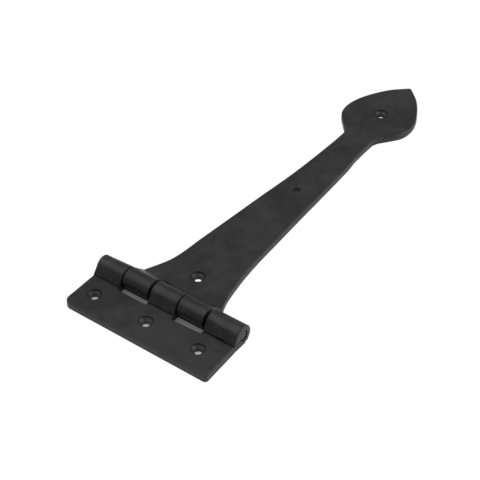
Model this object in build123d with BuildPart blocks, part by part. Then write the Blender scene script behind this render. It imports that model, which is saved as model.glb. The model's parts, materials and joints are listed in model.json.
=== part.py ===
from build123d import *
import math
import os

# A T hinge with an arrow-head strap, open flat and lying on its back, in millimetres.
# X runs along the pin, +Y runs along the strap to its point, +Z points out of the mounting plane.
# The origin is on the mounting plane, straight below the pin and half-way along the knuckles.

# Stock and pin
leaf_thickness = 4.0  # both leaves
pin_radius = 3.0
running_clearance = 0.05  # radial, between the pin and the strap's eyes
eye_wall = 2.9  # the leaf's end is drawn down to this before it is rolled
eye_radius = pin_radius + eye_wall
pin_height = eye_radius  # the eyes' lowest line is in the mounting plane
seam_gap = 0.3  # open seam between the rolled end and its leaf

# Frame plate, on the -Y side; distances from the pin's axis
plate_left = -44.5
plate_right = 45.0
plate_flare = 1.1  # the right edge runs out by this much on its way to the front
plate_reach = 31.2  # to the front edge, at its left end
plate_slant = 0.7  # the front edge's right end stands this much further out
plate_lip = 7.8  # to where the rolled end lands on the plate
left_corner_radius = 4.5
right_corner_radius = 2.0

# Strap, on the +Y side; distances from the pin's axis
strap_length = 229.0  # to the arrow's point
strap_lip = 10.6  # to where the rolled end lands on the strap
strap_notch = 10.0  # to the bottom of the notch for the middle knuckle of the plate
shoulder_y = 10.0  # to the strap's two back corners

# Knuckles and notches along the pin, as (left end, right end)
plate_notches = [(-27.4, -9.2), (7.4, 25.6)]
notch_depths = [(-9.2, -9.2), (-10.1, -9.3)]  # each notch's bottom, at its left and right end
plate_knuckles = [(plate_left, -27.4), (-9.2, 7.4), (25.6, plate_right)]
strap_knuckles = [(-27.0, -10.6), (7.8, 23.9)]

# Screw holes, for No. 8 countersunk wood screws
hole_radius = 2.1
sink_radius = 3.95
sink_angle = 90
faint_sink_radius = 2.6  # the strap's middle hole is hardly countersunk
plate_hole_xs = (-34.4, -1.3, 31.2)
plate_hole_y = -18.6
strap_hole_ys = (22.8, 110.4, 196.3)
strap_hole_x = -0.6

# Rounding
top_round = 0.9  # front faces' edges of both leaves
back_round = 0.35  # back faces' edges of both leaves
eye_round = 0.5  # rims of the knuckles' ends
point_round = 1.6  # the arrow's point, seen from above
pin_end_round = 1.0
pin_inset = 0.3  # the pin's ends stand this far inside the outer knuckles

# The strap's outline is forged by eye, so its two long edges aren't quite alike. Each has
# stations (x, y) along its waist, the corner where the head starts, and then the head:
# the end of its straight underside, its widest station and two stations on its flank.
left_waist = [(-27.0, shoulder_y), (-25.0, 14.4), (-20.9, 23.8), (-18.3, 42.0), (-15.7, 69.0)]
left_waist += [(-13.1, 96.0), (-10.4, 122.0), (-9.0, 149.0), (-8.6, 164.0)]
left_corner = (-8.6, 170.6)
left_head = [(-18.4, 181.8), (-21.4, 195.9), (-18.1, 206.6), (-10.2, 219.5)]
right_waist = [(23.9, shoulder_y), (21.8, 16.2), (19.9, 23.6), (17.0, 42.0), (15.0, 69.0)]
right_waist += [(13.5, 96.0), (12.2, 122.0), (10.4, 149.0), (9.4, 164.0)]
right_corner = (9.3, 173.4)
right_head = [(17.3, 184.0), (20.3, 195.9), (17.3, 206.6), (9.4, 219.5)]
point = (-0.4, strap_length)
left_neck_radius = 2.5
right_neck_radius = 9.0

os.makedirs("parts", exist_ok=True)


def eye_tangent(side, lip):
    """Where a straight line from the lip, at the leaf's top, touches the eye's circle."""
    drop = pin_height - leaf_thickness
    rise = math.acos(eye_radius / math.hypot(lip, drop)) - math.atan2(drop, lip)
    return (side * eye_radius * math.cos(rise), pin_height + eye_radius * math.sin(rise))


def rolled_eye(side, lip, ends, bore_radius):
    """A rolled eye and the strip of leaf under it; side is -1 for the plate, +1 for the strap."""
    left, right = ends
    section = Plane.YZ.offset(left)
    with BuildPart() as eye:
        with BuildSketch(section):
            with BuildLine():
                Polyline((0, 0), (side * lip, 0), (side * lip, leaf_thickness), eye_tangent(side, lip))
                ThreePointArc(eye_tangent(side, lip), (-side * eye_radius, pin_height), (0, 0))
            make_face()
        extrude(amount=right - left)
        fillet(eye.edges().filter_by(GeomType.CIRCLE), radius=eye_round)
        with BuildSketch(section):
            with Locations((0, pin_height)):
                Circle(bore_radius)
            with Locations((side * (lip + pin_radius) / 2, leaf_thickness + seam_gap / 2)):
                Rectangle(lip - pin_radius + 2, seam_gap)
        extrude(amount=right - left, mode=Mode.SUBTRACT)
    return eye.part


def leaf_holes(positions, sinks):
    """Cutters for a leaf's screw holes: a cylinder and a countersink at each position."""
    with BuildPart() as cutters:
        for position, sink in zip(positions, sinks):
            depth = (sink - hole_radius) / math.tan(math.radians(sink_angle / 2))
            with Locations((*position, leaf_thickness / 2)):
                Cylinder(hole_radius, 2 * leaf_thickness)
            with Locations((*position, leaf_thickness - depth / 2)):
                Cone(hole_radius, sink, depth)
    return cutters.part


# Frame plate: a plate with two notches, and rolled eyes at both ends and in the middle
plate_eyes = [rolled_eye(-1, plate_lip, ends, pin_radius) for ends in plate_knuckles]
plate_holes = [(x, plate_hole_y) for x in plate_hole_xs]
plate_corners = [(plate_left, -plate_reach), (plate_right + plate_flare, -plate_reach - plate_slant)]

with BuildPart() as frame_plate:
    with BuildSketch() as plan:
        with BuildLine():
            Polyline((plate_right, -plate_lip), (plate_left, -plate_lip), *plate_corners, close=True)
        make_face()
        for (left, right), (left_bottom, right_bottom) in zip(plate_notches, notch_depths):
            notch_outline = [(left, 0), (left, left_bottom), (right, right_bottom), (right, 0)]
            Polygon(*notch_outline, align=None, mode=Mode.SUBTRACT)
        for corner, radius in zip(plate_corners, (left_corner_radius, right_corner_radius)):
            fillet(plan.vertices().sort_by_distance(corner)[0], radius=radius)
    extrude(amount=leaf_thickness)
    for face, radius in ((-1, top_round), (0, back_round)):
        outline = frame_plate.faces().filter_by(Axis.Z).sort_by(Axis.Z)[face].outer_wire().edges()
        fillet([edge for edge in outline if edge.center().Y < min(min(notch_depths)) - 1], radius=radius)
    add(plate_eyes)
    add(leaf_holes(plate_holes, [sink_radius] * 3), mode=Mode.SUBTRACT)

frame_plate.part.label = "frame_plate"
export_step(frame_plate.part, "parts/frame_plate.step")

# Strap: a tapered bar with an arrow head, a notch for the plate's middle knuckle, and two eyes
strap_bore_radius = pin_radius + running_clearance
strap_eyes = [rolled_eye(1, strap_lip, ends, strap_bore_radius) for ends in strap_knuckles]
strap_holes = [(strap_hole_x, y) for y in strap_hole_ys]
notch_left, notch_right = strap_knuckles[0][1], strap_knuckles[1][0]

with BuildPart() as strap:
    with BuildSketch() as plan:
        with BuildLine():
            left_edge = Spline(*left_waist, tangents=[(0.45, 1), (0, 1)])
            right_edge = Spline(*right_waist, tangents=[(-0.2, 1), (-0.02, 1)])
            Line(left_edge @ 0, right_edge @ 0)
            Line(left_edge @ 1, left_corner)
            Line(right_edge @ 1, right_corner)
            left_under = Line(left_corner, left_head[0])
            right_under = Line(right_corner, right_head[0])
            Spline(*left_head, point, tangents=[left_under % 1, (0.74, 0.67)])
            Spline(*right_head, point, tangents=[right_under % 1, (-0.74, 0.67)])
        make_face()
        with Locations(((notch_left + notch_right) / 2, strap_notch / 2)):
            Rectangle(notch_right - notch_left, strap_notch, mode=Mode.SUBTRACT)
        rounded = ((point, point_round), (left_corner, left_neck_radius), (right_corner, right_neck_radius))
        for corner, radius in rounded:
            fillet(plan.vertices().sort_by_distance(corner)[0], radius=radius)
    extrude(amount=leaf_thickness)
    for face, radius in ((-1, top_round), (0, back_round)):
        outline = strap.faces().filter_by(Axis.Z).sort_by(Axis.Z)[face].outer_wire().edges()
        fillet([edge for edge in outline if edge.center().Y > strap_notch + 1], radius=radius)
    add(strap_eyes)
    add(leaf_holes(strap_holes, [sink_radius, faint_sink_radius, sink_radius]), mode=Mode.SUBTRACT)

strap.part.label = "strap"
export_step(strap.part, "parts/strap.step")

# Pin: a plain rod with rounded ends, tight in the plate's eyes and free in the strap's
with BuildPart() as hinge_pin:
    with BuildSketch(Plane.YZ.offset(plate_left + pin_inset)):
        with Locations((0, pin_height)):
            Circle(pin_radius)
    extrude(amount=plate_right - plate_left - 2 * pin_inset)
    fillet(hinge_pin.edges().filter_by(GeomType.CIRCLE), radius=pin_end_round)

hinge_pin.part.label = "hinge_pin"
export_step(hinge_pin.part, "parts/hinge_pin.step")
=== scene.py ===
import json
import math

import bmesh
import bpy
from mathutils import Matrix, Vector, noise


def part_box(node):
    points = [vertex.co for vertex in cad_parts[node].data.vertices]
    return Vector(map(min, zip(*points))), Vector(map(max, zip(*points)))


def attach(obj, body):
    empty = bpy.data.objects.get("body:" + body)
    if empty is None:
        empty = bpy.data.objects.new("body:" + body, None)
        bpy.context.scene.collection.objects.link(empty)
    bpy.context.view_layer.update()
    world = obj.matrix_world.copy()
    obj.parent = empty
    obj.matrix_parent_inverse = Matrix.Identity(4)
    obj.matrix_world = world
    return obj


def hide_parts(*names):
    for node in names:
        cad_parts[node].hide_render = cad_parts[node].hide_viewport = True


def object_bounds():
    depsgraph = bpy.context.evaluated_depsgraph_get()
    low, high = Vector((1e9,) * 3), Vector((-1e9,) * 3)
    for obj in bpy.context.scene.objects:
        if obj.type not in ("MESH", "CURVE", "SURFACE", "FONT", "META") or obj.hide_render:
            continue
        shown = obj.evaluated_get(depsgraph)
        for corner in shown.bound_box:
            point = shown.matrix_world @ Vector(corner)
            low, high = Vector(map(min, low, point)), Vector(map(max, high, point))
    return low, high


# A black forged T hinge, open flat on its back on a pale floor. Everything is in metres, in the CAD's own
# frame: X along the pin, +Y along the strap to its point, +Z out of the mounting plane.
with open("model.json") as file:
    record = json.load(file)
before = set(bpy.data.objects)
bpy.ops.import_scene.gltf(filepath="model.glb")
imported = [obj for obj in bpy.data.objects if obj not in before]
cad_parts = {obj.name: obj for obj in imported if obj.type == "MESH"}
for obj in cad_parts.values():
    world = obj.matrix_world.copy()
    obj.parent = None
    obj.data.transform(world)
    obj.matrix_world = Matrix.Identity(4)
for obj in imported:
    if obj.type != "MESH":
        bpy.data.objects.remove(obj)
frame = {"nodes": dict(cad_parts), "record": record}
cad_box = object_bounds()
scene = bpy.context.scene

MM = 0.001
pin_low, pin_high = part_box("hinge_pin")
pin_z = (pin_low.z + pin_high.z) / 2
pin_radius = (pin_high.z - pin_low.z) / 2
plate_low, plate_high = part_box("frame_plate")
eye_wall = plate_high.z - pin_z - pin_radius
leaf_top = 4.0 * MM
hole_radius = 2.1 * MM
sink_radius = 3.95 * MM
sink_depth = sink_radius - hole_radius  # the countersinks are 90 degrees
seam_gap = 0.3 * MM
left_knuckle_end = -27.4 * MM  # the inner end of the plate's left knuckle


# ---- Camera, at the photograph's viewing angle ----

camera_azimuth = math.radians(36.35)
camera_elevation = math.radians(40.79)
camera_distance = 0.8173
camera_target = Vector((-0.00292, 0.0620, 0))

camera_data = bpy.data.cameras.new("camera")
camera_data.lens = 116.38
camera_data.sensor_width = 36
camera = bpy.data.objects.new("camera", camera_data)
towards_camera = Vector(
    (
        math.sin(camera_azimuth) * math.cos(camera_elevation),
        -math.cos(camera_azimuth) * math.cos(camera_elevation),
        math.sin(camera_elevation),
    )
)
camera.location = camera_target + camera_distance * towards_camera
camera.rotation_mode = "QUATERNION"
camera.rotation_quaternion = (-towards_camera).to_track_quat("-Z", "Y")
scene.collection.objects.link(camera)
scene.camera = camera


# ---- Materials ----


def node_of(tree, kind, **inputs):
    """A new shader node, with the named inputs set."""
    made = tree.nodes.new(kind)
    for name, value in inputs.items():
        made.inputs[name.replace("_", " ")].default_value = value
    return made


def grey(value):
    """An opaque grey, from black at 0 to white at 1."""
    return (value, value, value, 1)


def noise_texture(tree, size, detail, squeeze=(1, 1, 1)):
    """Noise with blotches of about that size, in metres, longer along an axis whose squeeze is under 1."""
    made = node_of(tree, "ShaderNodeTexNoise", Scale=1 / size, Detail=detail, Roughness=0.55)
    place = tree.nodes.new("ShaderNodeTexCoord")
    squeezed = tree.nodes.new("ShaderNodeVectorMath")
    squeezed.operation = "MULTIPLY"
    squeezed.inputs[1].default_value = squeeze
    tree.links.new(place.outputs["Object"], squeezed.inputs[0])
    tree.links.new(squeezed.outputs["Vector"], made.inputs["Vector"])
    return made.outputs["Fac"]


def ramp(tree, source, low, high, start, end):
    """Maps source from start..end to low..high, which are numbers, and holds it there outside."""
    made = node_of(tree, "ShaderNodeMapRange", From_Min=start, From_Max=end, To_Min=low, To_Max=high)
    tree.links.new(source, made.inputs["Value"])
    return made.outputs["Result"]


edge_radius = 0.25 * MM  # how far from an edge the coat is rounded and rubbed
edge_facing = (0.80, 0.99)  # the rounded normal's agreement with the true one: fully rubbed, and not at all
blotch_sizes = ((7 * MM, 3), (45 * MM, 1))  # (size, detail) of the two noises that are added
blotch_span = (0.84, 1.16)  # the sums of those noises that give the darkest and the lightest coat
blotch_depth = 0.34  # how much darker and lighter than its base the coat gets
sheen_span = 0.05  # how far the roughness varies each way
peel = (  # (size, detail, height, squeeze) of the orange peel's two bumps and the rolling streaks' one
    (2.6 * MM, 2, 0.06 * MM, (1, 1, 1)),
    (0.8 * MM, 3, 0.05 * MM, (1, 1, 1)),
    (0.9 * MM, 2, 0.045 * MM, (1, 0.08, 0.08)),
)


def satin_black(name, base, worn, roughness):
    """Powder coat over forged steel: orange peel, faint rolling streaks and blotches, and rubbed edges."""
    material = bpy.data.materials.new(name)
    material.use_nodes = True
    tree = material.node_tree
    shader = tree.nodes["Principled BSDF"]
    shader.inputs["IOR"].default_value = 1.5

    rounded = tree.nodes.new("ShaderNodeBevel")
    rounded.samples = 6
    rounded.inputs["Radius"].default_value = edge_radius
    geometry = tree.nodes.new("ShaderNodeNewGeometry")
    facing = tree.nodes.new("ShaderNodeVectorMath")
    facing.operation = "DOT_PRODUCT"
    tree.links.new(rounded.outputs["Normal"], facing.inputs[0])
    tree.links.new(geometry.outputs["True Normal"], facing.inputs[1])
    edge = ramp(tree, facing.outputs["Value"], 1, 0, *edge_facing)

    blotch = tree.nodes.new("ShaderNodeMath")
    blotch.operation = "ADD"
    for socket, (size, detail) in zip(blotch.inputs, blotch_sizes):
        tree.links.new(noise_texture(tree, size, detail), socket)
    colour = node_of(tree, "ShaderNodeMix")
    colour.data_type = "RGBA"
    colour.inputs["A"].default_value = grey((1 - blotch_depth) * base)
    colour.inputs["B"].default_value = grey((1 + blotch_depth) * base)
    tree.links.new(ramp(tree, blotch.outputs["Value"], 0, 1, *blotch_span), colour.inputs["Factor"])
    rubbed = node_of(tree, "ShaderNodeMix")
    rubbed.data_type = "RGBA"
    rubbed.inputs["B"].default_value = grey(worn)
    tree.links.new(edge, rubbed.inputs["Factor"])
    tree.links.new(colour.outputs["Result"], rubbed.inputs["A"])
    tree.links.new(rubbed.outputs["Result"], shader.inputs["Base Color"])
    smooth, rough = roughness - sheen_span, roughness + sheen_span
    sheen = ramp(tree, noise_texture(tree, 3 * MM, 2), smooth, rough, 0.3, 0.7)
    tree.links.new(sheen, shader.inputs["Roughness"])

    normal = rounded.outputs["Normal"]
    for size, detail, height, squeeze in peel:
        bump = node_of(tree, "ShaderNodeBump", Strength=1, Distance=height)
        tree.links.new(noise_texture(tree, size, detail, squeeze), bump.inputs["Height"])
        tree.links.new(normal, bump.inputs["Normal"])
        normal = bump.outputs["Normal"]
    tree.links.new(normal, shader.inputs["Normal"])
    return material


leaf_black = satin_black("satin_black_leaf", 0.0268, 0.039, 0.42)
pin_black = satin_black("satin_black_pin", 0.032, 0.05, 0.38)


# ---- Pieces ----


grid = 2.5 * MM  # the spacing of the grid that the leaves' surfaces are cut along
grid_start = 0.63  # the first cut's distance from the leaf's low side, in spacings
sink_cuts = (0.25, 0.5, 0.75)  # shares of the countersinks' depth where they are cut too
dents = ((24 * MM, 0.16 * MM), (9 * MM, 0.07 * MM))  # (size, depth) of the forging's two kinds of dents
bore_margin = 1.5 * MM  # the forging fades in over this distance from the pin's bore
screw_margin = 3 * MM  # and over this one from the countersinks' rims
sink_bulge = 0.5 * MM  # how far a countersink's dish stands outside its cone, half-way down
taper_depth = 0.6 * MM  # how far the left outer knuckle's end is drawn down
taper_start = 0.2 * MM  # the taper fades in from this height over the leaf's top
taper_fade = 3 * MM  # and is whole this much higher
lip_height = 0.8 * MM  # how far the right outer knuckle's lip stands up
lip_middle = 36 * MM  # where along the pin it stands up most
lip_half_length = 7 * MM
lip_reach = 4.8 * MM  # from the pin's surface to the lip's edge, along Y
back_height = 0.4 * MM  # the leaves' backs, lower than this, stay flat
crease_angle = math.radians(35)  # edges sharper than this stay sharp


def cut_across(bm, at, normal):
    """Cuts everything in the mesh along the plane through that point."""
    everything = bm.verts[:] + bm.edges[:] + bm.faces[:]
    bmesh.ops.bisect_plane(bm, geom=everything, dist=1e-7, plane_co=at, plane_no=normal)


def cut_copy(node):
    """A bmesh of a CAD node's surface, cut along a square grid and at some depths of the countersinks."""
    source = frame["nodes"][node].data
    bm = bmesh.new()
    points = [bm.verts.new(v.co) for v in source.vertices]
    for polygon in source.polygons:
        bm.faces.new([points[i] for i in polygon.vertices])
    bmesh.ops.remove_doubles(bm, verts=bm.verts, dist=0.001 * MM)
    low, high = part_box(node)
    for axis, normal in ((0, Vector((1, 0, 0))), (1, Vector((0, 1, 0)))):
        for k in range(int((high[axis] - low[axis]) / grid)):
            cut_across(bm, normal * (low[axis] + (k + grid_start) * grid), normal)
    for share in sink_cuts:
        cut_across(bm, Vector((0, 0, leaf_top - share * sink_depth)), Vector((0, 0, 1)))
    return bm


def clamped(value):
    """The value, held between 0 and 1."""
    return min(1, max(0, value))


def off_bore(point):
    """How far a point stands outside the pin's bore, in metres."""
    return math.hypot(point.y, point.z - pin_z) - pin_radius


def forging(point, seed):
    """How deep the hammer left the surface at a point, in metres, from 0 to about 0.2 mm."""
    depth = 0
    for (size, deepest), offset in zip(dents, (Vector((seed, 0, 0)), Vector((0, seed, 0)))):
        depth += (0.5 + 0.5 * noise.noise(point / size + offset)) * deepest
    return depth


def screw_axes():
    """Where the screw holes' axes stand, as (x, y), from the record's patterns of two holes each."""
    found = []
    for mount in frame["record"]["mounts"]:
        if mount["kind"] == "bolt_pattern":
            x, y, _ = mount["pos_m"]
            across = mount["dims"].get("spacing_x_mm", 0) * MM / 2
            along = mount["dims"].get("spacing_y_mm", 0) * MM / 2
            found += [(x - across, y - along), (x + across, y + along)]
    return found


screws = screw_axes()


def free_share(point):
    """0 on the pin's bore and round the screw holes, and 1 away from them, so that they stay round."""
    off_screw = min(math.hypot(point.x - x, point.y - y) for x, y in screws) - sink_radius
    return clamped(off_bore(point) / bore_margin) * clamped(off_screw / screw_margin)


def dish(point):
    """How a point of a countersink's cone moves, so that the sink is a dish with a steep rim."""
    depth = leaf_top - point.z
    for x, y in screws:
        off = Vector((point.x - x, point.y - y, 0))
        if 0 < depth < sink_depth and abs(off.length + depth - sink_radius) < 0.05 * MM:
            return off.normalized() * sink_bulge * math.sin(math.pi * depth / sink_depth)
    return Vector()


def end_taper(point):
    """How far the left outer knuckle is drawn down towards its end, in metres."""
    rise = point.z - leaf_top - taper_start
    if point.x > left_knuckle_end or rise < 0:
        return 0
    along = (left_knuckle_end - point.x) / (left_knuckle_end - plate_low.x)
    return taper_depth * clamped(off_bore(point) / eye_wall) * along * clamped(rise / taper_fade)


def lip_lift(point):
    """How far the right outer knuckle's rolled lip stands up off the plate, in metres."""
    along = 1 - abs(point.x - lip_middle) / lip_half_length
    out = (-point.y - pin_radius) / lip_reach
    if along <= 0 or out <= 0 or point.z < leaf_top + seam_gap / 2:
        return 0
    return lip_height * along * along * (3 - 2 * along) * clamped(out)


def forged(name, node, body, seed):
    """A piece that stands for a leaf: the CAD leaf's surface, a little uneven as forging leaves it."""
    bm = cut_copy(node)
    bm.normal_update()
    moves = []
    for v in bm.verts:
        on_back = v.co.z < back_height and v.normal.z < -0.5
        depth = 0 if on_back else forging(v.co, seed) * free_share(v.co)
        move = dish(v.co) - v.normal * depth
        if node == "frame_plate":
            outwards = Vector((0, v.co.y, v.co.z - pin_z)).normalized()
            move += Vector((0, 0, lip_lift(v.co))) - outwards * end_taper(v.co)
        moves.append(move)
    for v, move in zip(bm.verts, moves):
        v.co += move
    mesh = bpy.data.meshes.new(name)
    bm.to_mesh(mesh)
    bm.free()
    mesh.shade_smooth()
    mesh.set_sharp_from_angle(angle=crease_angle)
    mesh.materials.append(leaf_black)
    piece = bpy.data.objects.new(name, mesh)
    scene.collection.objects.link(piece)
    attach(piece, body)
    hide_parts(node)


forged("frame_plate_forged", "frame_plate", "frame", 3.7)
forged("strap_forged", "strap", "strap", 8.2)

pin = frame["nodes"]["hinge_pin"]
pin.data.materials.clear()
pin.data.materials.append(pin_black)


# ---- Floor and light ----


def matt(name, white, glow, seen_from_below=True):
    """Matt paper with a glow of its own; unless seen_from_below, the camera sees through its back."""
    material = bpy.data.materials.new(name)
    material.use_nodes = True
    tree = material.node_tree
    shader = tree.nodes["Principled BSDF"]
    shader.inputs["Base Color"].default_value = grey(white)
    shader.inputs["Roughness"].default_value = 0.9
    shader.inputs["Emission Color"].default_value = grey(1)
    shader.inputs["Emission Strength"].default_value = glow
    if not seen_from_below:
        geometry = tree.nodes.new("ShaderNodeNewGeometry")
        path = tree.nodes.new("ShaderNodeLightPath")
        both = tree.nodes.new("ShaderNodeMath")
        both.operation = "MULTIPLY"
        tree.links.new(geometry.outputs["Backfacing"], both.inputs[0])
        tree.links.new(path.outputs["Is Camera Ray"], both.inputs[1])
        clear = tree.nodes.new("ShaderNodeBsdfTransparent")
        either = tree.nodes.new("ShaderNodeMixShader")
        tree.links.new(both.outputs["Value"], either.inputs["Fac"])
        tree.links.new(shader.outputs["BSDF"], either.inputs[1])
        tree.links.new(clear.outputs["BSDF"], either.inputs[2])
        tree.links.new(either.outputs["Shader"], tree.nodes["Material Output"].inputs["Surface"])
    return material


def paper(name, low, high, z, material):
    """A flat sheet at height z, from corner low to corner high, as (x, y)."""
    mesh = bpy.data.meshes.new(name)
    corners = ((low[0], low[1], z), (high[0], low[1], z), (high[0], high[1], z), (low[0], high[1], z))
    mesh.from_pydata(corners, [], [(0, 1, 2, 3)])
    mesh.materials.append(material)
    sheet = bpy.data.objects.new(name, mesh)
    scene.collection.objects.link(sheet)
    return sheet


# The floor lights the hinge from below, and the camera looks through it to the white of the studio, so the
# strap still shows where it swings lower than the floor. Three sheets of painted shade lie hidden under the
# fixed plate: a grey one with a faint glow and its black part, the painted shadow of the strap's eye, show
# through the two notches, and a lighter, glowing one, the floor under the holes in painted light and shade,
# shows through the holes.
floor_reach = 6.0
floor_z = cad_box[0].z - 0.4 * MM
painted_sheet_z = cad_box[0].z - 0.3 * MM
painted_sheet_left, painted_sheet_right = plate_low.x + 1 * MM, plate_high.x - 2 * MM
shade_y, notch_y, hole_y = -3.3 * MM, -11 * MM, -28 * MM  # each painted shade sheet's front edge
floor_white = matt("floor_white", 0.8, 0.25)
floor = paper("floor", (-floor_reach, -floor_reach), (floor_reach, floor_reach), floor_z, floor_white)
floor.visible_camera = False
floor.visible_shadow = False
# Painted shadow: a black sheet stands for the strap eye's shadow on the floor in the notches.
painted_shadow_black = matt("painted_shadow_black", 0.02, 0, seen_from_below=False)
# Painted shade: a grey sheet with a faint glow stands for the shaded floor in the notches.
notch_painted_shade = matt("notch_painted_shade", 0.22, 0.07, seen_from_below=False)
# Painted light and shade: a grey sheet that glows stands for the dimly lit floor under the holes.
hole_painted_light_and_shade = matt("hole_painted_light_and_shade", 0.3, 0.3, seen_from_below=False)
# The painted shade sheets, hidden under the fixed plate where there is only shade.
paper("eye_painted_shadow_sheet", (painted_sheet_left, shade_y), (painted_sheet_right, 5 * MM), painted_sheet_z, painted_shadow_black)
paper("notch_painted_shade_sheet", (painted_sheet_left, notch_y), (painted_sheet_right, shade_y), painted_sheet_z, notch_painted_shade)
paper("hole_painted_light_sheet", (painted_sheet_left + 4 * MM, hole_y), (painted_sheet_right, notch_y), painted_sheet_z, hole_painted_light_and_shade)

# The studio is white where it is seen, and lights the hinge more from overhead and behind than from in
# front: the sky's strength goes from its low to its high value as its direction turns towards sky_top.
sky_top = (-0.10, 0.45, 0.88)
sky_strength = (0.08, 0.30)
sky_turn = (-0.2, 0.7)  # the direction's dot product with sky_top at the low and at the high value
world = bpy.data.worlds.new("studio")
world.use_nodes = True
world_tree = world.node_tree
direction = world_tree.nodes.new("ShaderNodeTexCoord")
height = world_tree.nodes.new("ShaderNodeVectorMath")
height.operation = "DOT_PRODUCT"
height.inputs[1].default_value = sky_top
world_tree.links.new(direction.outputs["Generated"], height.inputs[0])
sky = ramp(world_tree, height.outputs["Value"], *sky_strength, *sky_turn)
background = world_tree.nodes["Background"]
background.inputs["Color"].default_value = grey(1)
path = world_tree.nodes.new("ShaderNodeLightPath")
seen_or_not = node_of(world_tree, "ShaderNodeMix", B=1)
world_tree.links.new(path.outputs["Is Camera Ray"], seen_or_not.inputs["Factor"])
world_tree.links.new(sky, seen_or_not.inputs["A"])
world_tree.links.new(seen_or_not.outputs["Result"], background.inputs["Strength"])
scene.world = world


softbox_distance = 1.6


def softbox(name, side, size, power):
    """A square area light that faces the middle of the hinge from that side."""
    data = bpy.data.lights.new(name, "AREA")
    data.shape = "SQUARE"
    data.size = size
    data.energy = power
    light = bpy.data.objects.new(name, data)
    towards = Vector(side).normalized()
    light.location = camera_target + softbox_distance * towards
    light.rotation_mode = "QUATERNION"
    light.rotation_quaternion = (-towards).to_track_quat("-Z", "Y")
    scene.collection.objects.link(light)


softbox("softbox_top", (-0.40, -0.25, 0.88), 1.8, 9)
softbox("softbox_right", (0.64, 0.40, 0.66), 1.2, 9)

scene.view_settings.view_transform = "Standard"
